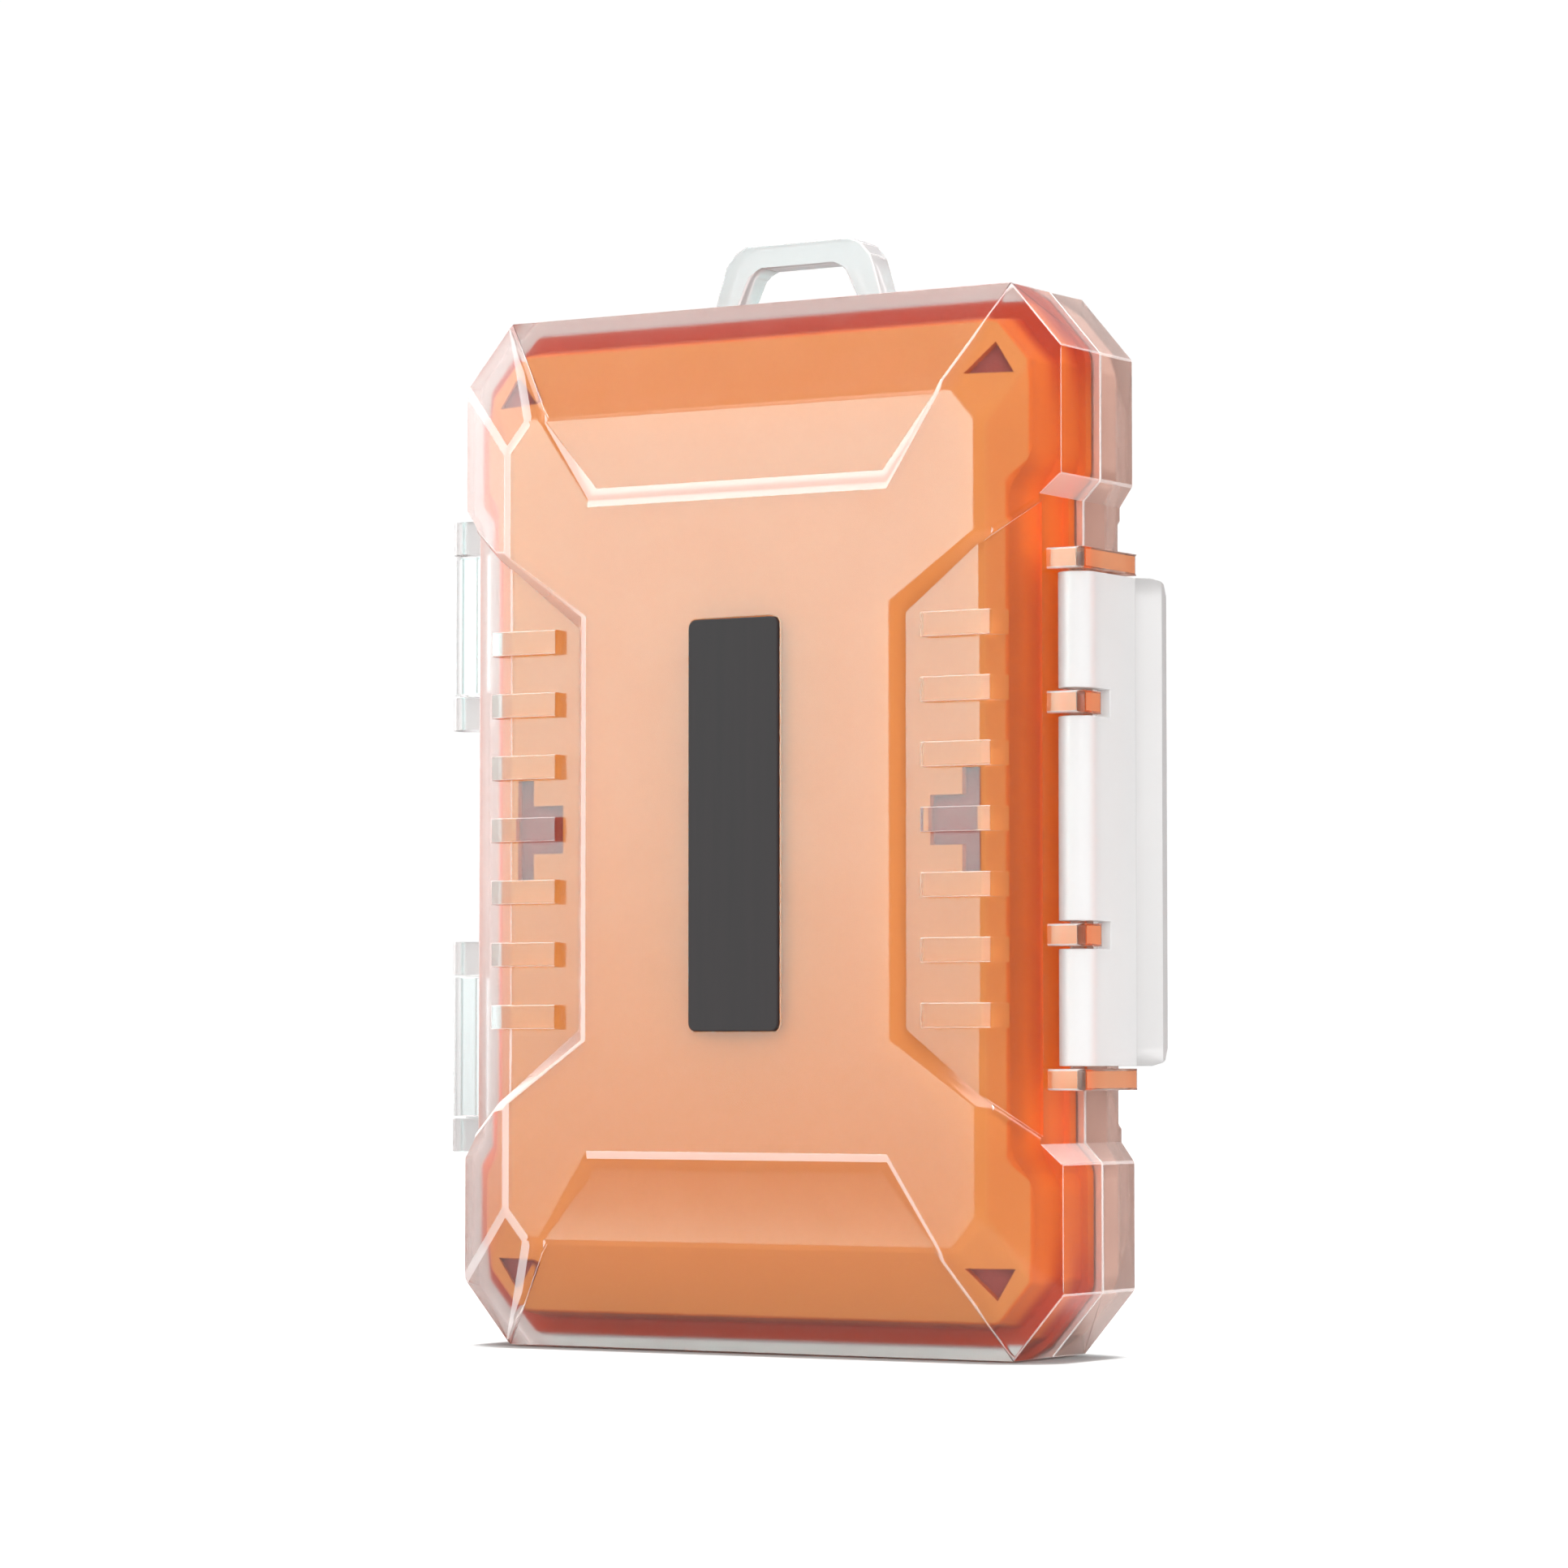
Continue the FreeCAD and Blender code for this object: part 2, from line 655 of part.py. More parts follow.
# Front liner: orange moulding with a stepped window on each side and one in each corner
liner_solid, liner_hollow = liner_blank("front")
stepped = [
    (BLOCK_FAR, "Sizes.window_block_half"),
    (BAR_FAR, "Sizes.window_block_half"),
    (BAR_FAR, "Sizes.window_bar_half"),
    (BAR_NEAR, "Sizes.window_bar_half"),
]
stepped += [(x, f"-{z}") for x, z in reversed(stepped)]
corner_window = [
    (CORNER_FAR, CORNER_Z),
    (CORNER_NEAR, CORNER_Z),
    (CORNER_TIP, f"({CORNER_Z} + Sizes.corner_window_rise)"),
]
windows = [[(side + x, z) for x, z in stepped] for side in SIDES]
windows += [
    [(side + x, end + z) for x, z in corner_window] for side in SIDES for end in SIDES
]
window_tool = prism(
    "window_tool",
    outline("window_outlines", "XZ", windows, "-(Sizes.front_wall - Sizes.shell_wall)"),
    "Sizes.front_wall",
)
front_liner = cut("front_liner", liner_solid, fuse("front_liner_cuts", liner_hollow, window_tool))

# Rear liner: the same moulding without windows
rear_solid, rear_hollow = liner_blank("rear")
rear_liner = cut("rear_liner", rear_solid, rear_hollow)


def card_tray(cover, card, columns, rows, notch):
    """A tray with a grid of card pockets open to the parting plane, each with a notch for a finger."""
    name = f"{cover}_card_tray"
    solid = block(
        name + "_solid",
        cover,
        "Sizes.liner_inset + Sizes.liner_wall + Sizes.fit_gap",
        "Sizes.tray_level",
        "Sizes.shell_face + Sizes.liner_wall + Sizes.fit_gap * 2",
    )
    half_x = f"(Sizes.{card}_width / 2 + Sizes.card_gap)"
    half_z = f"(Sizes.{card}_height / 2 + Sizes.card_gap)"
    reach = f"({half_z} + Sizes.{notch}_height / 2)"
    notch_x = f"Sizes.{notch}_width / 2"
    pockets = []
    for column in range(columns):
        x = f"Sizes.{card}_pitch_x * {column - (columns - 1) / 2}"
        for row in range(rows):
            z = f"Sizes.{card}_pitch_z * {row - (rows - 1) / 2}"
            half = [(half_x, f"-{half_z}"), (half_x, half_z), (notch_x, half_z), (notch_x, reach)]
            ring = half + [(f"-({across})", along) for across, along in reversed(half)]
            pockets.append([(f"{x} + ({across})", f"{z} + ({along})") for across, along in ring])
    sign = COVERS[cover]
    floor = f"Sizes.tray_level + Sizes.{card}_depth"
    start = f"{sign}(Sizes.tray_level - Sizes.overcut)" if cover == "front" else f"({floor})"
    tool = prism(
        name + "_pockets",
        outline(name + "_outlines", "XZ", pockets, start),
        f"Sizes.{card}_depth + Sizes.overcut",
    )
    return cut(name, solid, tool)


# Card trays: soft grey blocks, the front one for full-size cards and the rear one for micro cards
front_card_tray = card_tray("front", "card", 2, 3, "notch")
rear_card_tray = card_tray("rear", "micro", 3, 3, "micro_notch")

# Latch: plate with a barrel, a hook behind the catch and a lip for the finger
PLATE_OUT = f"({PIVOT_X} + Sizes.latch_barrel)"
PLATE_IN = f"({PLATE_OUT} - Sizes.latch_plate)"
latch_profile = [
    (PLATE_IN, "-Sizes.pivot_y"),
    (PLATE_IN, HOOK_FRONT),
    (HOOK_X, HOOK_FRONT),
    (HOOK_X, "(Sizes.lip_end - Sizes.hook_lead)"),
    (f"({HOOK_X} + Sizes.hook_lead)", "Sizes.lip_end"),
    (LIP_X, "Sizes.lip_end"),
    (LIP_X, "(Sizes.lip_end - Sizes.lip_edge)"),
    (PLATE_OUT, "(Sizes.lip_end - Sizes.lip_edge - Sizes.lip_run)"),
    (PLATE_OUT, "-Sizes.pivot_y"),
]
latch_ends = (level("-Sizes.latch_half"), level("Sizes.latch_half"))
latch_bar = prism(
    "latch_bar", outline("latch_profile", "XY", [latch_profile], latch_ends[0]), "Sizes.latch_half * 2"
)
barrel = upright("latch_barrel", "Sizes.latch_barrel", PIVOT_X, "-Sizes.pivot_y", latch_ends)
front_edge = "-(Sizes.pivot_y + Sizes.latch_barrel)"
corner_start = "(Sizes.lip_end - Sizes.lip_corner)"
corner_half = "(Sizes.latch_half - Sizes.lip_corner)"
upper_edge = [
    (front_edge, "Sizes.latch_half"),
    (corner_start, "Sizes.latch_half"),
    (
        "(Sizes.lip_end - Sizes.lip_corner * Sizes.easing)",
        "(Sizes.latch_half - Sizes.lip_corner * Sizes.easing)",
    ),
    ("Sizes.lip_end", corner_half),
]
latch_shape = upper_edge + [(y, f"-{z}") for y, z in reversed(upper_edge)]
latch_trim = through("latch_trim", "YZ", [latch_shape])
latch_tools = [
    upright(
        "latch_bore",
        "Sizes.latch_pin + Sizes.running_fit",
        PIVOT_X,
        "-Sizes.pivot_y",
        (f"{latch_ends[0]} - Sizes.overcut", f"{latch_ends[1]} + Sizes.overcut"),
    )
]
for place, height in MIDDLE_LUGS.items():
    reach = "(Sizes.mid_lug / 2 + Sizes.lug_gap)"
    latch_tools.append(
        box(
            f"{place}_latch_slot",
            (f"{HOOK_X} - Sizes.overcut", LIP_X),
            (f"{front_edge} - Sizes.overcut", "-Sizes.pivot_y + Sizes.slot_reach"),
            (level(f"{height} - {reach}"), level(f"{height} + {reach}")),
        )
    )
latch_blank = common("latch_blank", fuse("latch_solid", latch_bar, barrel), latch_trim)
latch = cut("latch", latch_blank, fuse("latch_tools", *latch_tools))

# Pins: one through the latch and its lugs, and one in each hinge
latch_pin = upright(
    "latch_pin",
    "Sizes.latch_pin",
    PIVOT_X,
    "-Sizes.pivot_y",
    (level(f"-{END_LUG_TOP}"), level(END_LUG_TOP)),
)
hinge_pins = [
    upright(
        f"{place}_hinge_pin",
        "Sizes.hinge_pin",
        f"-{HINGE_X}",
        "0",
        (level(f"{height} - {HINGE_HALF}"), level(f"{height} + {HINGE_HALF}")),
    )
    for place, height in HINGES.items()
]

doc.recompute()
for item in doc.Objects:
    if "Invalid" in item.State or "Error" in item.State:
        raise RuntimeError(f"{item.Name} failed: {item.State}")

pieces = [front_cover, front_liner, front_card_tray, nameplate, latch_pin, latch]
pieces += [rear_cover, rear_liner, rear_card_tray, rim_seal, *hinge_pins]
os.makedirs("parts", exist_ok=True)
for piece in pieces:
    piece.Label = piece.Name
    if piece.Shape.isNull() or not piece.Shape.isValid() or len(piece.Shape.Solids) != 1:
        raise RuntimeError(f"{piece.Label} isn't one valid solid")
for piece in pieces:
    piece.Shape.exportStep(f"parts/{piece.Label}.step")
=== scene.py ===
import math

import bmesh
import bpy
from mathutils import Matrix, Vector


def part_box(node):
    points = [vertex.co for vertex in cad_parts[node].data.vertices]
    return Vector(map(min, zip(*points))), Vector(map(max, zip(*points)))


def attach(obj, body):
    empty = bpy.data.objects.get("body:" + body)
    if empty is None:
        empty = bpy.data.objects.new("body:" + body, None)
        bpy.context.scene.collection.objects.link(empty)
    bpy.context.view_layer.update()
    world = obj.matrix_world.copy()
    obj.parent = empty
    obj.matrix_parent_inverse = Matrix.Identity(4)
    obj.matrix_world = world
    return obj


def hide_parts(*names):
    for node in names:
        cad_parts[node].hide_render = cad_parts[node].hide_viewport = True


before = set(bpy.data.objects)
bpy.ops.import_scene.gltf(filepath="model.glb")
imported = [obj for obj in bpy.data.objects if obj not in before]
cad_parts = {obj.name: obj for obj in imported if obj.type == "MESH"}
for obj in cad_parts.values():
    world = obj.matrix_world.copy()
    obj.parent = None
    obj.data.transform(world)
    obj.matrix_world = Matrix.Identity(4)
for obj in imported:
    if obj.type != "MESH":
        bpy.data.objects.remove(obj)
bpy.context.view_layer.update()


# Front cover: the clear lid with its raised face, grip ribs, middle hinge knuckles and latch lugs.
# It is moulded in one shot of clear polycarbonate with a fine satin texture on its outside.
# Its moulded edges are eased, and its rim stands a hair off the rear cover's.
MM = 0.001
WELD_GAP = 0.001 * MM
TOUCH = 0.002 * MM
PARTING_GAP = 0.05 * MM
RIM_BAND = 0.4 * MM
BORE_BAND = 0.15 * MM
BOTTOM = 5 * MM
BEND_ROUND = 0.6 * MM
FACE_ROUND = 0.3 * MM
STEP_ROUND = 0.22 * MM
EDGE_ROUND = 0.15 * MM
FINE_ROUND = 0.1 * MM
LUG_ROUND, LUG_EASE = 0.8 * MM, 0.25 * MM
EASE_STEPS, ROUND_STEPS = 3, 4
FACE_LEVEL, WALL_LEVEL = -11.9 * MM, -9.5 * MM
RIB_ZONE_NEAR, RIB_ZONE_FAR, RIB_ZONE_HALF = 23 * MM, 36 * MM, 25 * MM
SEAT_ZONE_X, SEAT_ZONE_Z = 8 * MM, 26 * MM
LUG_SIDE, LUG_ZONE = 38.2 * MM, 32 * MM
HINGE_SIDE = 25 * MM
END_BEND = 45 * MM
FROST_RIM = 1.5 * MM
SHORT_EDGE, LONG_STEP = 0.9 * MM, 25 * MM
TWIST_AREA = 4 * MM * MM
FLAT_TURN, FRONT_TURN, STEP_TURN, TWIST_TURN, HIGHLIGHT_TURN = 0.99, 0.6, 0.25, 0.2, 0.03
STRAIGHT = 0.9
SHARP_ANGLE = math.radians(38)
CREASE_ANGLE = math.radians(12)
COPLANAR_ANGLE = math.radians(0.4)
CLEAR_BEND = 1.49
SATIN_FINISH = (0.20, 0.26)
COVER_TINT, BOND_TINT = (0.985, 0.98, 0.978), (0.995, 0.99, 0.988)
FLOW_SCALE, GLOSS_SCALE, GRAIN_SCALE = 60, 170, 8000
FLOW_GAIN = 1.012
GRAIN_STRENGTH, GRAIN_DEPTH = 0.01, 0.02 * MM


def solid_of(node):
    """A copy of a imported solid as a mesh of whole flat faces, with its inner corners kept crisp."""
    mesh = bmesh.new()
    mesh.from_mesh(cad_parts[node].data)
    bmesh.ops.remove_doubles(mesh, verts=mesh.verts, dist=WELD_GAP)
    bmesh.ops.dissolve_limit(mesh, angle_limit=COPLANAR_ANGLE, verts=mesh.verts, edges=mesh.edges)
    return mesh


def moulded_edge(edge, shortest, least_angle=CREASE_ANGLE):
    """Whether an edge is a convex one that a moulding tool would ease."""
    convex = edge.is_manifold and edge.is_convex
    return convex and edge.calc_face_angle() > least_angle and edge.calc_length() > shortest


def outer_edges(mesh, shortest, least_angle=CREASE_ANGLE):
    """All the edges of a mesh that a moulding tool would ease."""
    return [edge for edge in mesh.edges if moulded_edge(edge, shortest, least_angle)]


def ease(mesh, edges, width, segments=EASE_STEPS):
    """Rounds these edges."""
    bmesh.ops.bevel(
        mesh,
        geom=edges,
        offset=width,
        offset_type="OFFSET",
        affect="EDGES",
        segments=segments,
        profile=0.5,
        material=-1,
        clamp_overlap=False,
        loop_slide=True,
    )


def shift_rim(mesh, side):
    """Draws a rim back from the parting plane by a hair."""
    rim = [vert for vert in mesh.verts if abs(vert.co.y) < TOUCH]
    bmesh.ops.translate(mesh, verts=rim, vec=Vector((0, side * PARTING_GAP, 0)))


def finish_piece(name, mesh, materials, body, node):
    """Makes the mesh an object that stands for its CAD node and moves with its body."""
    bmesh.ops.recalc_face_normals(mesh, faces=mesh.faces)
    for face in mesh.faces:
        face.smooth = True
    for edge in mesh.edges:
        edge.smooth = edge.is_manifold and edge.calc_face_angle() < SHARP_ANGLE
    data = bpy.data.meshes.new(name)
    mesh.to_mesh(data)
    mesh.free()
    for material in materials:
        data.materials.append(material)
    piece = bpy.data.objects.new(name, data)
    bpy.context.scene.collection.objects.link(piece)
    weighted = piece.modifiers.new("even_normals", "WEIGHTED_NORMAL")
    weighted.keep_sharp = True
    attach(piece, body)
    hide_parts(node)


def on_rim(face):
    """Whether a face lies on a cover's rim."""
    return all(abs(vert.co.y) < RIM_BAND for vert in face.verts)


def bond_cavity(mesh, side):
    """Gives the hollow's faces, from its flat bottom up to the rim and with it, the second material."""
    floors = [
        face
        for face in mesh.faces
        if face.normal.y * side > FLAT_TURN and -side * face.calc_center_median().y > BOTTOM
    ]
    reached = {max(floors, key=lambda face: face.calc_area())}
    waiting = list(reached)
    while waiting:
        face = waiting.pop()
        if on_rim(face):
            continue
        for edge in face.edges:
            new_faces = set(edge.link_faces) - reached
            reached |= new_faces
            waiting += new_faces
    for face in reached:
        face.material_index = 1


def bond_bores(mesh, *pins):
    """Gives the faces of the holes round these pins the second material."""
    for pin in pins:
        low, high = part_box(pin)
        axis, reach = (low + high) / 2, (high.x - low.x) / 2 + BORE_BAND
        for face in mesh.faces:
            if all(math.hypot(vert.co.x - axis.x, vert.co.y - axis.y) < reach for vert in face.verts):
                face.material_index = 1


def round_edges(mesh, width_of, edge_material=0):
    """A new mesh with each edge rounded as widely as width_of says, and the strips given a material."""
    weights = mesh.edges.layers.float.new("bevel_weight_edge")
    bare = [edge for edge in mesh.edges if not all(face.material_index for face in edge.link_faces)]
    widths = {edge: width_of(edge) for edge in bare}
    widest = max(widths.values())
    for edge, width in widths.items():
        edge[weights] = width / widest
    data = bpy.data.meshes.new("unrounded")
    mesh.to_mesh(data)
    mesh.free()
    for _ in range(edge_material + 1):
        data.materials.append(None)
    unrounded = bpy.data.objects.new("unrounded", data)
    bpy.context.scene.collection.objects.link(unrounded)
    rounding = unrounded.modifiers.new("rounding", "BEVEL")
    rounding.limit_method = "WEIGHT"
    rounding.width = widest
    rounding.segments = ROUND_STEPS
    rounding.material = edge_material
    rounding.use_clamp_overlap = False
    rounded = bmesh.new()
    rounded.from_object(unrounded, bpy.context.evaluated_depsgraph_get())
    bpy.data.objects.remove(unrounded)
    bpy.data.meshes.remove(data)
    return rounded


class Shade:
    """One output of a material's nodes. Arithmetic on it adds Math nodes."""

    def __init__(self, tree, socket):
        self.tree = tree
        self.socket = socket

    def node(self, kind, settings, inputs, output=0):
        """Adds a node with its settings, then its inputs as values or links, and returns one output."""
        made = self.tree.nodes.new(kind)
        for key, value in settings.items():
            setattr(made, key, value)
        for key, value in inputs.items():
            if isinstance(value, Shade):
                self.tree.links.new(value.socket, made.inputs[key])
            else:
                made.inputs[key].default_value = value
        return Shade(self.tree, made.outputs[output])

    def math(self, operation, *values):
        return self.node("ShaderNodeMath", {"operation": operation}, dict(enumerate(values)))

    def __add__(self, other):
        return self.math("ADD", self, other)

    def __sub__(self, other):
        return self.math("SUBTRACT", self, other)

    def __mul__(self, other):
        return self.math("MULTIPLY", self, other)

    def __rsub__(self, other):
        return self.math("SUBTRACT", other, self)

    __radd__ = __add__
    __rmul__ = __mul__

    def part(self, axis):
        """One part of a vector, named X, Y or Z."""
        return self.node("ShaderNodeSeparateXYZ", {}, {0: self}, axis)

    def noise(self, scale, detail=2.0):
        settings = {"noise_dimensions": "3D"}
        return self.node("ShaderNodeTexNoise", settings, {"Vector": self, "Scale": scale, "Detail": detail})

    def between(self, low, high):
        """Goes smoothly from 0 to 1 as the value goes from low to high."""
        settings = {"interpolation_type": "SMOOTHSTEP"}
        inputs = {"Value": self, "From Min": low, "From Max": high, "To Min": 0.0, "To Max": 1.0}
        return self.node("ShaderNodeMapRange", settings, inputs)

    def colour(self, first, second):
        """A mix of two colours by this value."""
        mixed = self.node("ShaderNodeMix", {"data_type": "RGBA"}, {"Factor": self})
        for index, colour in ((6, first), (7, second)):
            mixed.socket.node.inputs[index].default_value = (*colour, 1)
        return Shade(self.tree, mixed.socket.node.outputs[2])

    def blend(self, first, second):
        """A mix of a colour that varies with a plain one by this value."""
        mixed = self.colour((0, 0, 0), second)
        self.tree.links.new(first.socket, mixed.socket.node.inputs[6])
        return mixed

    def bump(self, strength, distance):
        inputs = {"Height": self, "Strength": strength, "Distance": distance}
        return self.node("ShaderNodeBump", {}, inputs)


def new_material(name):
    """A material with its Principled shader, and the place on the piece that its patterns read."""
    material = bpy.data.materials.new(name)
    material.use_nodes = True
    tree = material.node_tree
    place = tree.nodes.new("ShaderNodeTexCoord")
    return material, tree.nodes["Principled BSDF"], Shade(tree, place.outputs["Object"])


def feed(shader, **inputs):
    """Sets or links a shader's inputs, named in words joined by underscores."""
    for key, value in inputs.items():
        socket = shader.inputs[key.replace("_", " ")]
        if isinstance(value, Shade):
            value.tree.links.new(value.socket, socket)
        else:
            socket.default_value = value


def clear_plastic(name, finish, tint, clear=1.0, bend=CLEAR_BEND):
    """Clear polycarbonate with a satin outside that varies a little, and faint flow marks from moulding."""
    material, shader, place = new_material(name)
    smoothest, roughest = finish
    paler = tuple(min(1.0, channel * FLOW_GAIN) for channel in tint)
    feed(
        shader,
        Base_Color=place.noise(FLOW_SCALE).colour(tint, paler),
        Roughness=smoothest + (roughest - smoothest) * place.noise(GLOSS_SCALE),
        Transmission_Weight=clear,
        IOR=bend,
        Normal=place.noise(GRAIN_SCALE).bump(GRAIN_STRENGTH, GRAIN_DEPTH),
    )
    return material


# The eased edges, the lugs, the rim and the loop are frosted, so they are less clear than the walls. The
# whiter edges stand as painted highlights, the lugs' orange tint is painted light from the liner and the
# loop's grey tint is painted shade.
# Where a liner or a pin lies against a cover, light passes unbent, as through wetted plastic.
clear_cover = clear_plastic("clear_cover", SATIN_FINISH, COVER_TINT)
# The frosted edge's whiter tint is a painted highlight, kept on edges that face the light.
frosted_edge_highlight = clear_plastic("frosted_edge_highlight", SATIN_FINISH, (0.95, 0.92, 0.915), 0.70)
# The lugs' orange tint is painted light from the liner beside them.
lug_painted_orange = clear_plastic("lug_painted_orange", SATIN_FINISH, (0.86, 0.34, 0.15), 0.62)
clear_rim = clear_plastic("clear_rim", SATIN_FINISH, (0.98, 0.94, 0.92), 0.5)
# The loop's grey tint is painted shade, darker than the rear cover it is moulded with.
loop_painted_shade = clear_plastic("loop_painted_shade", SATIN_FINISH, (0.62, 0.602, 0.602), 0.55, 1.36)
clear_bond, shader, place = new_material("clear_bond")
tint = place.noise(FLOW_SCALE).colour(COVER_TINT, BOND_TINT)
feed(shader, Base_Color=tint, Transmission_Weight=1.0, IOR=1.0, Roughness=0.0)
shell = solid_of("front_cover")
shift_rim(shell, -1)
bond_cavity(shell, 1)
bond_bores(shell, "latch_pin", "upper_hinge_pin", "lower_hinge_pin")
low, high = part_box("front_cover")
middle = (low.z + high.z) / 2

# Each slanting step of the face is one smooth sweep, so the patches that make it up are joined.
twists = {}
for face in shell.faces:
    spot, turn = face.calc_center_median(), face.normal
    slanting = abs(turn.x) > STEP_TURN and abs(turn.z) > TWIST_TURN
    if spot.y < FACE_LEVEL and slanting and face.calc_area() < TWIST_AREA:
        key = (spot.x > 0, spot.z > middle, abs(spot.z - middle) > RIB_ZONE_FAR)
        twists.setdefault(key, []).append(face)
for faces in twists.values():
    bmesh.ops.dissolve_faces(shell, faces=faces, use_verts=False)


def reaches_wall(face):
    """Whether a face runs from the raised front back to the side walls."""
    return max(vert.co.y for vert in face.verts) > WALL_LEVEL


def front_width(edge):
    """Wide rounding on the corner ridges, the hinge side's bends and the long steps, and fine on the rest."""
    if not moulded_edge(edge, SHORT_EDGE):
        return 0
    spot = (edge.verts[0].co + edge.verts[1].co) / 2
    height = abs(spot.z - middle)
    on_rib = RIB_ZONE_NEAR < abs(spot.x) < RIB_ZONE_FAR and height < RIB_ZONE_HALF
    on_seat = abs(spot.x) < SEAT_ZONE_X and height < SEAT_ZONE_Z
    raised = [vert.co.y < FACE_LEVEL for vert in edge.verts]
    if on_rib or on_seat:
        return FINE_ROUND
    if spot.x > LUG_SIDE and height < LUG_ZONE:
        along = abs(edge.verts[1].co.z - edge.verts[0].co.z) > STRAIGHT * edge.calc_length()
        return LUG_ROUND if along else LUG_EASE
    if not any(raised):
        return EDGE_ROUND
    if all(raised) and any(map(reaches_wall, edge.link_faces)):
        return BEND_ROUND if spot.x < -HINGE_SIDE else FACE_ROUND
    return BEND_ROUND if edge.calc_length() > LONG_STEP or not all(raised) else STEP_ROUND


# Edges that face left, up or down, and those near the rim, keep the frosted edge as painted highlights; so do
# steps facing left or up and the latch side's ledges.
cover = (clear_cover, clear_bond, frosted_edge_highlight, lug_painted_orange, clear_rim, loop_painted_shade)
shell = round_edges(shell, front_width, cover.index(frosted_edge_highlight))
for face in shell.faces:
    spot, turn = face.calc_center_median(), face.normal
    height = abs(spot.z - middle)
    made_of = cover[face.material_index]
    left_step = turn.x < -STEP_TURN and turn.y < -STEP_TURN and height < RIB_ZONE_FAR + SHORT_EDGE
    top_step = turn.z > STEP_TURN and abs(spot.x) < HINGE_SIDE and spot.z - middle < END_BEND
    ledge = abs(turn.z) > STEP_TURN and abs(turn.y) < STEP_TURN and spot.x > HINGE_SIDE
    keeps_painted_highlight = turn.x < -HIGHLIGHT_TURN or abs(turn.x) < HIGHLIGHT_TURN and height < END_BEND
    on_face = height < RIB_ZONE_FAR or turn.y < -FRONT_TURN
    if made_of is frosted_edge_highlight and spot.y < -FROST_RIM and on_face and not keeps_painted_highlight:
        face.material_index = cover.index(clear_cover)
    elif made_of is clear_bond and on_rim(face):
        face.material_index = cover.index(clear_rim)
    elif made_of is clear_cover and spot.x > LUG_SIDE and height < LUG_ZONE:
        face.material_index = cover.index(lug_painted_orange)
    elif made_of is clear_cover and spot.y < FACE_LEVEL and (left_step or top_step):
        face.material_index = cover.index(frosted_edge_highlight)
    elif made_of is clear_cover and ledge and height < END_BEND:
        face.material_index = cover.index(frosted_edge_highlight)
finish_piece("front_shell", shell, cover, "front_half", "front_cover")


# Rear cover: the clear base with the hinges' end knuckles, the catch for the latch and the lanyard loop.
# It is moulded of the same polycarbonate as the front cover, with a groove in its rim for the seal.
REAR_ROUND = 0.22 * MM


def rear_width(edge):
    """The same slight rounding on every outer edge."""
    return REAR_ROUND if moulded_edge(edge, SHORT_EDGE) else 0


shell = solid_of("rear_cover")
shift_rim(shell, 1)
bond_cavity(shell, -1)
bond_bores(shell, "upper_hinge_pin", "lower_hinge_pin")
shell = round_edges(shell, rear_width, cover.index(frosted_edge_highlight))
loop_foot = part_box("front_cover")[1].z
for face in shell.faces:
    made_of = cover[face.material_index]
    chamfer = STEP_TURN < face.normal.y < 1 - HIGHLIGHT_TURN
    if made_of is clear_bond and on_rim(face):
        face.material_index = cover.index(clear_rim)
    elif made_of is clear_cover and face.calc_center_median().z > loop_foot:
        face.material_index = cover.index(loop_painted_shade)
    elif made_of is clear_cover and chamfer:
        face.material_index = cover.index(frosted_edge_highlight)
finish_piece("rear_shell", shell, cover, "rear_half", "rear_cover")


# Front liner: the orange moulding inside the lid, with a stepped window on each side and one in each corner.
# It is a soft satin plastic, pressed into the lid, with well-rounded corners.
# Its colour has painted light and shade: paler on its front as a painted sheen, vivid on its waist's walls as
# painted light and deep on its end walls as painted shade.
LINER_EASE = 0.4 * MM
WAIST_ROUND = 1.8 * MM
WAIST_REACH = 48 * MM
WINDOW_DEPTH = -6 * MM
WALL_RUN = 3 * MM
UPRIGHT_TURN = 0.01
DEEP_ORANGE, PALE_ORANGE = (0.72, 0.135, 0.010), (0.76, 0.150, 0.014)
# Painted sheen on the front, painted light on the waist's walls and painted shade on the end walls.
FRONT_PAINTED_SHEEN = (0.72, 0.250, 0.056)
WAIST_PAINTED_LIGHT = (0.98, 0.19, 0.010)
END_PAINTED_SHADE = (0.54, 0.045, 0.004)
FRONT_FACING, FRONT_DEPTH = (0.60, 0.95), (5 * MM, 8 * MM)
WAIST_HEIGHT, WAIST_DEPTH = (34 * MM, 44 * MM), (-8 * MM, -4 * MM)
END_HEIGHT, END_DEPTH = (44 * MM, 54 * MM), (-5.5 * MM, -2.5 * MM)
LINER_BEND, LINER_GLOSS = 1.48, 0.12
CLOUD_SCALE, SHEEN_SCALE, SKIN_SCALE, SOFT_DETAIL = 35, 120, 1500, 3.0
SKIN_STRENGTH, SKIN_DEPTH = 0.05, 0.05 * MM


def satin_plastic(name, deep, pale, finish, painted_light=None):
    """Soft moulded plastic, cloudy and finely textured, with painted light and shade over its colour where
    they are given.
    """
    material, shader, place = new_material(name)
    smoothest, roughest = finish
    colour = place.noise(CLOUD_SCALE, SOFT_DETAIL).colour(deep, pale)
    if painted_light:
        colour = painted_light(place, colour)
    feed(
        shader,
        Base_Color=colour,
        Roughness=smoothest + (roughest - smoothest) * place.noise(SHEEN_SCALE),
        IOR=LINER_BEND,
        Specular_IOR_Level=LINER_GLOSS,
        Normal=place.noise(SKIN_SCALE, SOFT_DETAIL).bump(SKIN_STRENGTH, SKIN_DEPTH),
    )
    return material


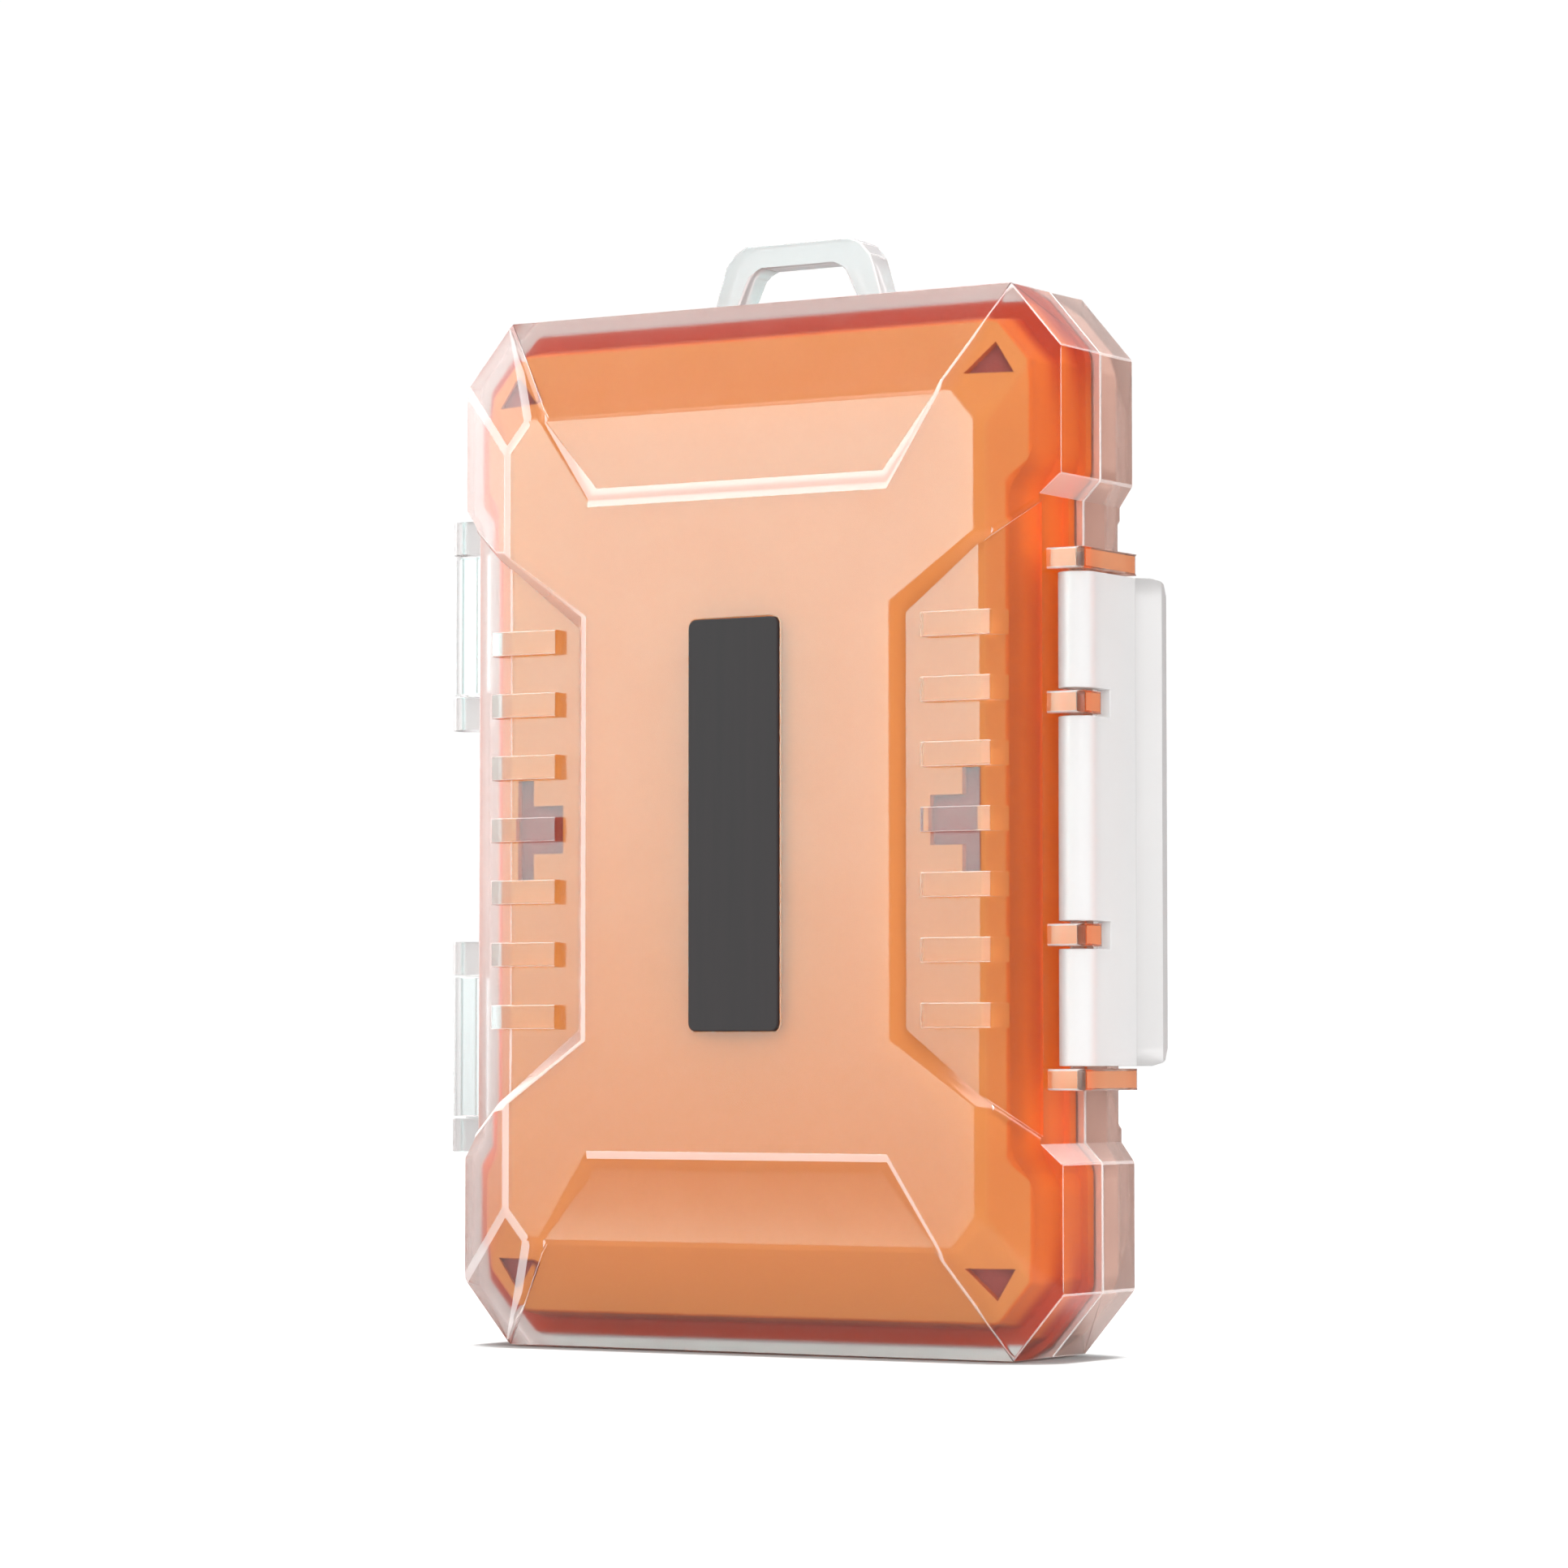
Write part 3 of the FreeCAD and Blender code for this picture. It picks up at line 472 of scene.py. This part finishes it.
def orange_painted_light_and_shade(place, colour):
    """Paints light and shade: painted light on the waist's walls, painted shade on the walls of both ends and
    a painted sheen on the front.
    """
    ahead = -1 * place.node("ShaderNodeTexCoord", {}, {}, "Normal").part("Y")
    depth = place.part("Y")
    height = place.part("Z") - middle
    away = height.math("ABSOLUTE", height)
    waist = (1 - away.between(*WAIST_HEIGHT)) * depth.between(*WAIST_DEPTH)
    ends = away.between(*END_HEIGHT) * depth.between(*END_DEPTH)
    front = ahead.between(*FRONT_FACING) * (-1 * depth).between(*FRONT_DEPTH)
    return front.blend(ends.blend(waist.blend(colour, WAIST_PAINTED_LIGHT), END_PAINTED_SHADE), FRONT_PAINTED_SHEEN)


def window_wall(face):
    """Whether a face of the liner is the cut side of a window in its front."""
    return abs(face.normal.y) < UPRIGHT_TURN and all(vert.co.y < WINDOW_DEPTH for vert in face.verts)


def upright_edge(edge):
    """Whether an edge stands along the liner's side wall, between two of its faces."""
    run = edge.verts[1].co - edge.verts[0].co
    upright = abs(run.y) > STRAIGHT * run.length and run.length > WALL_RUN
    return upright and edge.calc_face_angle(0) > CREASE_ANGLE


def liner_width(edge):
    """Wide rounding on the upright corners where the liner's side steps in, and slight on its outer edges."""
    if any(map(window_wall, edge.link_faces)):
        return 0
    if upright_edge(edge) and abs(edge.verts[0].co.z - middle) < WAIST_REACH:
        return WAIST_ROUND
    return LINER_EASE if moulded_edge(edge, SHORT_EDGE) else 0


# The flange's front is taken off before the rounding and filled in again round the new corners.
orange_liner = satin_plastic("orange_liner", DEEP_ORANGE, PALE_ORANGE, (0.38, 0.46), orange_painted_light_and_shade)
liner = solid_of("front_liner")
flange = [
    face
    for face in liner.faces
    if face.normal.y < -FLAT_TURN and face.calc_center_median().y > WINDOW_DEPTH
]
bmesh.ops.delete(liner, geom=flange, context="FACES")
liner = round_edges(liner, liner_width)
ring = [edge for edge in liner.edges if edge.is_boundary]
bmesh.ops.triangle_fill(liner, edges=ring, use_beauty=True, normal=(0, -1, 0))
finish_piece("orange_lid_liner", liner, (orange_liner,), "front_half", "front_liner")


# Rear liner: the pale peach moulding inside the base, plain, without windows.
# It is the same soft satin plastic as the front liner, and it is pressed into the base.
pale_liner = satin_plastic("pale_liner", (0.66, 0.38, 0.30), (0.70, 0.43, 0.345), (0.40, 0.48))
liner = solid_of("rear_liner")
ease(liner, outer_edges(liner, SHORT_EDGE), LINER_EASE)
finish_piece("pale_base_liner", liner, (pale_liner,), "rear_half", "rear_liner")


# Card trays: dense soft foam blocks with a pocket for each card and a notch for a finger.
# They are cut to size and pressed into the liners.
TRAY_EASE = 0.35 * MM
CELL_SCALE, SPECK_SCALE, MATT_SCALE = 2600.0, 400, 900
SPECK_SHARE, CELL_SHARE = 0.6, 0.4
CELL_STRENGTH, CELL_DEPTH = 0.35, 0.08 * MM


def soft_foam(name, deep, pale):
    """Closed-cell foam: matt, with fine cells that show as specks and dimples."""
    material, shader, place = new_material(name)
    cells = place.node("ShaderNodeTexVoronoi", {"feature": "F1"}, {"Vector": place, "Scale": CELL_SCALE})
    specks = place.noise(SPECK_SCALE, 4.0) * SPECK_SHARE + cells * CELL_SHARE
    feed(
        shader,
        Base_Color=specks.colour(deep, pale),
        Roughness=0.82 + 0.12 * place.noise(MATT_SCALE),
        IOR=1.4,
        Normal=cells.bump(CELL_STRENGTH, CELL_DEPTH),
    )
    return material


# The trays' dark red-brown is painted shade and orange light from the liner, over foam that is grey.
grey_tray = soft_foam("grey_tray", (0.33, 0.062, 0.048), (0.40, 0.080, 0.063))
for node, body in (("front_card_tray", "front_half"), ("rear_card_tray", "rear_half")):
    tray = solid_of(node)
    ease(tray, outer_edges(tray, SHORT_EDGE), TRAY_EASE)
    finish_piece("foam_" + node, tray, (grey_tray,), body, node)


# Nameplate: the bare dark plate in its seat in the lid's face.
# It is a stamped satin plate with a rolled edge, bonded in place.
PLATE_EASE = 0.18 * MM
GLUE_LINE = 0.03 * MM
BRUSHING = (900.0, 900.0, 40.0)
dark_plate, shader, place = new_material("dark_plate")
streaks = place.node("ShaderNodeMapping", {}, {"Vector": place, "Scale": BRUSHING}).noise(1.0, 3.0)
feed(
    shader,
    Base_Color=streaks.colour((0.0195, 0.015, 0.0155), (0.0265, 0.021, 0.0215)),
    Roughness=0.50 + 0.1 * streaks,
    Specular_IOR_Level=0.15,
    Normal=streaks.bump(0.03, 0.02 * MM),
)
plate = solid_of("nameplate")
low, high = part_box("nameplate")
back = [vert for vert in plate.verts if vert.co.y > high.y - TOUCH]
bmesh.ops.translate(plate, verts=back, vec=Vector((0, -GLUE_LINE, 0)))
rolled = [edge for edge in plate.edges if all(vert.co.y < low.y + TOUCH for vert in edge.verts)]
ease(plate, rolled, PLATE_EASE)
finish_piece("bare_plate", plate, (dark_plate,), "front_half", "nameplate")


# Rim seal: the soft ring that the lid's rim presses on when the case is shut.
# It is moulded of pale silicone and lies in the groove of the base's rim.
SEAL_EASE, SEAL_SHORTEST = 0.15 * MM, 0.5 * MM
seal_silicone = satin_plastic("seal_silicone", (0.84, 0.80, 0.78), (0.90, 0.87, 0.85), (0.5, 0.6))
ring = solid_of("rim_seal")
low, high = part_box("rim_seal")
back = [vert for vert in ring.verts if vert.co.y > high.y - TOUCH]
bmesh.ops.translate(ring, verts=back, vec=Vector((0, -GLUE_LINE, 0)))
ease(ring, outer_edges(ring, SEAL_SHORTEST), SEAL_EASE)
finish_piece("silicone_ring", ring, (seal_silicone,), "rear_half", "rim_seal")


# Latch: the moulded latch with its barrel, hook and finger lip, milky where light scatters in it.
# It snaps over the catch and turns on a pin through the lid's lugs.
LEVER_EASE = 0.12 * MM
LEVER_ANGLE = math.radians(45)
LIP_START = 3.6 * MM
MILKY_FINISH, MILKY_CLEAR = (0.29, 0.34), 0.58
clear_latch = clear_plastic("clear_latch", MILKY_FINISH, (0.87, 0.863, 0.862), MILKY_CLEAR)
# The finger lip's greyer copy of the latch plastic is painted shade.
lip_painted_shade = clear_plastic("lip_painted_shade", MILKY_FINISH, (0.61, 0.602, 0.60), MILKY_CLEAR)
lever = solid_of("latch")
ease(lever, outer_edges(lever, 0, LEVER_ANGLE), LEVER_EASE)
for face in lever.faces:
    face.material_index = int(face.calc_center_median().y > LIP_START)
finish_piece("clear_lever", lever, (clear_latch, lip_painted_shade), "latch", "latch")


# Pins: clear rods with chamfered ends, one through the latch and one in each hinge.
# They are pushed through the clear knuckles, where they lie close and hardly bend the light.
PIN_CHAMFER = 0.12 * MM
PIN_END_ANGLE = math.radians(60)
PIN_BEND = 1.1
clear_pin = clear_plastic("clear_pin", SATIN_FINISH, (0.98, 0.975, 0.972), 1.0, PIN_BEND)
for node, body in (
    ("latch_pin", "front_half"),
    ("upper_hinge_pin", "rear_half"),
    ("lower_hinge_pin", "rear_half"),
):
    rod = solid_of(node)
    ends = [edge for edge in rod.edges if edge.calc_face_angle() > PIN_END_ANGLE]
    ease(rod, ends, PIN_CHAMFER, 1)
    finish_piece("clear_" + node, rod, (clear_pin,), body, node)


# Floor: a plain pale table top, a hair under the case so that the two don't share a face.
# It glows a little, as a lit sweep does, with a painted pool of light round the case, and a painted contact
# shadow darkens it where the case stands close to it.
FLOOR_SIZE = 4.0
TABLE_GAP = 0.2 * MM
SHADOW_REACH, OPEN_SHARE = 5 * MM, (0.70, 0.985)
POOL_EDGE = (0.08, 0.16)
FIRST_BOUNCE = (0.2, 0.8)
FLOOR_GLOW = 0.78
pale_table, shader, place = new_material("pale_table")
# The occlusion factor paints a contact shadow into the floor's glow.
open_sky = place.node("ShaderNodeAmbientOcclusion", {"samples": 8}, {"Distance": SHADOW_REACH}, "AO")
looked_at = place.node("ShaderNodeLightPath", {}, {}, "Is Camera Ray")
lighting_up = place.node("ShaderNodeLightPath", {}, {}, "Diffuse Depth").between(*FIRST_BOUNCE)
reach = place.node("ShaderNodeVectorMath", {"operation": "LENGTH"}, {0: place}, "Value")
pool = 1 - reach.between(*POOL_EDGE)
glow = 1 - (1 - looked_at) * (1 - lighting_up) * (1 - pool)
feed(
    shader,
    Base_Color=place.noise(3.0).colour((0.30, 0.30, 0.30), (0.31, 0.31, 0.31)),
    Roughness=0.9,
    Specular_IOR_Level=0.0,
    Emission_Color=(open_sky.between(*OPEN_SHARE) * glow).colour((0.01, 0.01, 0.01), (1, 1, 1)),
    Emission_Strength=FLOOR_GLOW,
)
table = bmesh.new()
bmesh.ops.create_grid(table, x_segments=1, y_segments=1, size=FLOOR_SIZE)
bmesh.ops.translate(table, verts=table.verts, vec=Vector((0, 0, -TABLE_GAP)))
data = bpy.data.meshes.new("pale_table")
table.to_mesh(data)
table.free()
data.materials.append(pale_table)
floor = bpy.data.objects.new("pale_table", data)
bpy.context.scene.collection.objects.link(floor)


# Studio: a white tent of even light, with a soft box at the front left, a light at the left and one overhead.
# Fills stand at the front right and the right, and a dark card at the back right draws the clear edges.
# The world carries them as soft patches: one set lights the solid pieces, clear plastic mirrors the other.
SOFT_BOX = Vector((-0.52, -0.85, 0.24)).normalized()
LEFT_LIGHT = Vector((-0.99, -0.10, 0.15)).normalized()
SIDE_FILL = Vector((0.95, -0.20, 0.25)).normalized()
FRONT_FILL = Vector((0.60, -0.80, 0.06)).normalized()
BACKDROP = Vector((-0.52, 0.85, 0.0)).normalized()
DARK_CARD = Vector((0.52, 0.85, 0.05)).normalized()
TENT_SEEN, TENT_MIRRORED, TENT_LIGHT = 1.02, 0.75, 0.86
COOL_WHITE = (0.60, 0.98, 0.97)
world = bpy.data.worlds.new("studio")
bpy.context.scene.world = world
world.use_nodes = True
world.cycles.sampling_method = "NONE"
tree = world.node_tree
way = Shade(tree, tree.nodes.new("ShaderNodeTexCoord").outputs["Generated"])
seen = way.node("ShaderNodeLightPath", {}, {}, "Is Camera Ray")
bounced = way.node("ShaderNodeLightPath", {}, {}, "Diffuse Depth").between(*FIRST_BOUNCE)


def patch(direction, wide, full):
    """A patch of light in this direction that fades out from full to wide, in degrees off its middle."""
    inputs = {0: way, 1: tuple(direction)}
    facing = way.node("ShaderNodeVectorMath", {"operation": "DOT_PRODUCT"}, inputs, "Value")
    return facing.between(math.cos(math.radians(wide)), math.cos(math.radians(full)))


above = way.part("Z")
soft_box = patch(SOFT_BOX, 19, 12)
mirrored = (
    TENT_MIRRORED
    + 0.20 * patch(BACKDROP, 102, 66)
    - 0.70 * patch(DARK_CARD, 34, 16)
    + 9.1 * soft_box
    + 4.5 * patch(LEFT_LIGHT, 46, 22)
    + 7.0 * above.between(0.70, 0.82)
)
lighting = (
    TENT_LIGHT
    + 0.4 * patch(SIDE_FILL, 60, 25)
    + 4.8 * patch(FRONT_FILL, 40, 18)
    + 1.4 * above.between(0.35, 0.80)
)
feed(
    tree.nodes["Background"],
    Strength=seen * TENT_SEEN + (1 - seen) * (bounced * lighting + (1 - bounced) * mirrored),
    Color=(soft_box * (1 - bounced)).colour((1, 1, 1), COOL_WHITE),
)
bpy.context.scene.view_settings.view_transform = "Standard"


# Camera: a long lens a little below the case's middle, turned to show the front and the latch side.
# Its place and lens were fitted to the case's outline in the photograph.
view = bpy.data.cameras.new("camera")
view.lens = 123.23
view.sensor_width = 36.0
view.clip_start = 0.01
camera = bpy.data.objects.new("camera", view)
camera.location = (0.3223, -0.5305, 0.0341)
camera.rotation_euler = (math.radians(92.8645), 0.0, math.radians(31.4035))
bpy.context.scene.collection.objects.link(camera)
bpy.context.scene.camera = camera
